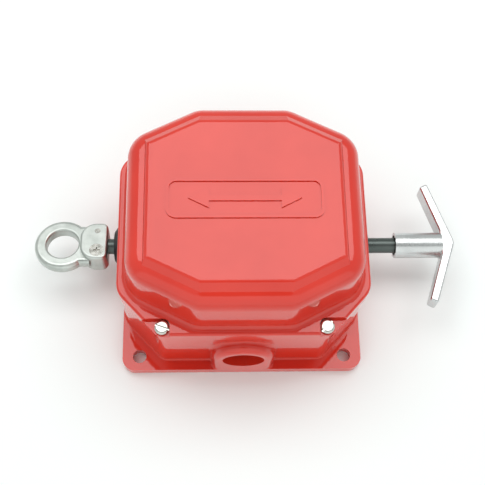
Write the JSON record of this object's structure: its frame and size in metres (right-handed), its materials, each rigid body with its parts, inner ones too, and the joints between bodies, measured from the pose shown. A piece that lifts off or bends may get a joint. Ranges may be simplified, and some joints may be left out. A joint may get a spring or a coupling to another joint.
{
  "type": "cable-operated pull switch",
  "caption": "Cast enclosure pull switch: a sliding shaft with a cable eye at one end and a T-handle at the other throws a toggle and two snap switches inside.",
  "frame": {"origin": "Centre of the mounting face, on the shaft's centre plane.", "axes": "+Z points out of the mounting face towards the cover, X runs along the pull shaft with the cable eye at -X and the T-handle at +X, and -Y is the side with the conduit entry."},
  "size_m": [0.2724, 0.154, 0.1039],
  "materials": {
    "red_enamel": "glossy baked enamel on cast aluminium",
    "black_rubber": "matt black rubber",
    "nickel_plate": "bright nickel plated steel",
    "bronze": "sintered bronze",
    "black_oxide_steel": "black oxide on turned steel",
    "zinc_plated_steel": "clear zinc plate",
    "cast_zinc": "satin die-cast zinc",
    "spring_steel": "oil-tempered spring wire",
    "green_earth": "green dyed brass",
    "brass": "turned brass",
    "cast_aluminium": "tumbled cast aluminium",
    "black_plastic": "moulded phenolic",
    "red_plastic": "moulded plastic",
    "white_plastic": "acetal"
  },
  "bodies": {
    "housing": {"base_housing": "red_enamel", "cover": "red_enamel", "cover_gasket": "black_rubber", "cover_screws": "nickel_plate", "left_bushing": "bronze", "right_bushing": "bronze", "left_shaft_seal": "black_rubber", "right_shaft_seal": "black_rubber", "toggle_frame": "zinc_plated_steel", "pivot_pin": "zinc_plated_steel", "frame_screws": "zinc_plated_steel", "bracket_screws": "zinc_plated_steel", "earth_screw": "green_earth", "terminal_screws": "brass", "front_switch_screws": "zinc_plated_steel", "rear_switch_screws": "zinc_plated_steel", "front_switch": "black_plastic", "front_hinge_pin": "zinc_plated_steel", "front_switch_bracket": "zinc_plated_steel", "rear_switch": "black_plastic", "rear_hinge_pin": "zinc_plated_steel", "rear_switch_bracket": "zinc_plated_steel"},
    "pull_shaft": {"shaft": "black_oxide_steel", "drive_collar": "zinc_plated_steel", "cam_collar": "zinc_plated_steel", "run_stop": "zinc_plated_steel", "trip_stop": "zinc_plated_steel", "collar_pins": "zinc_plated_steel", "t_handle": "cast_aluminium"},
    "cable_eye": {"eye_ring": "cast_zinc", "eye_shell_upper": "cast_zinc", "eye_shell_lower": "cast_zinc", "eye_screws": "nickel_plate"},
    "yoke": {"toggle_yoke": "cast_zinc", "yoke_tip_pin": "zinc_plated_steel"},
    "spring_link": {"spring_guide": "zinc_plated_steel", "spring_trunnion": "zinc_plated_steel", "toggle_spring": "spring_steel"},
    "front_lever_arm": {"front_lever": "zinc_plated_steel", "front_roller": "white_plastic", "front_roller_pin": "zinc_plated_steel"},
    "rear_lever_arm": {"rear_lever": "zinc_plated_steel", "rear_roller": "white_plastic", "rear_roller_pin": "zinc_plated_steel"},
    "front_button": {"front_plunger": "red_plastic"},
    "rear_button": {"rear_plunger": "red_plastic"}
  },
  "joints": [
    {"name": "shaft_travel", "type": "slide", "parent": "housing", "child": "pull_shaft", "axis": [-1, 0, 0], "range_m": [0, 0.016]},
    {"name": "eye_swivel", "type": "hinge", "parent": "pull_shaft", "child": "cable_eye", "pos_m": [-0.1, 0, 0.028], "axis": [1, 0, 0], "continuous": true},
    {"name": "yoke_swing", "type": "hinge", "parent": "housing", "child": "yoke", "pos_m": [0, 0, 0.054], "axis": [0, 1, 0], "range_deg": [0, 35.85]},
    {"name": "spring_lean", "type": "hinge", "parent": "housing", "child": "spring_link", "pos_m": [0, 0, 0.088], "axis": [0, -1, 0], "range_deg": [0, 14.33]},
    {"name": "front_lever_swing", "type": "hinge", "parent": "housing", "child": "front_lever_arm", "pos_m": [0.058, -0.0204, 0.028], "axis": [0, 0, -1], "range_deg": [0, 6.56]},
    {"name": "rear_lever_swing", "type": "hinge", "parent": "housing", "child": "rear_lever_arm", "pos_m": [0.058, 0.0204, 0.028], "axis": [0, 0, 1], "range_deg": [0, 6.56]},
    {"name": "front_button_travel", "type": "slide", "parent": "housing", "child": "front_button", "axis": [0, 1, 0], "range_m": [0, 0.00104]},
    {"name": "rear_button_travel", "type": "slide", "parent": "housing", "child": "rear_button", "axis": [0, -1, 0], "range_m": [0, 0.00104]}
  ],
  "couplings": [
    {"joint": "yoke_swing", "follows": "shaft_travel", "rad_per_m": 39.096},
    {"joint": "spring_lean", "follows": "shaft_travel", "rad_per_m": 15.626},
    {"joint": "front_lever_swing", "follows": "shaft_travel", "rad_per_m": 7.1437},
    {"joint": "rear_lever_swing", "follows": "shaft_travel", "rad_per_m": 7.1437},
    {"joint": "front_button_travel", "follows": "shaft_travel", "ratio": 0.064294},
    {"joint": "rear_button_travel", "follows": "shaft_travel", "ratio": 0.064294}
  ]
}
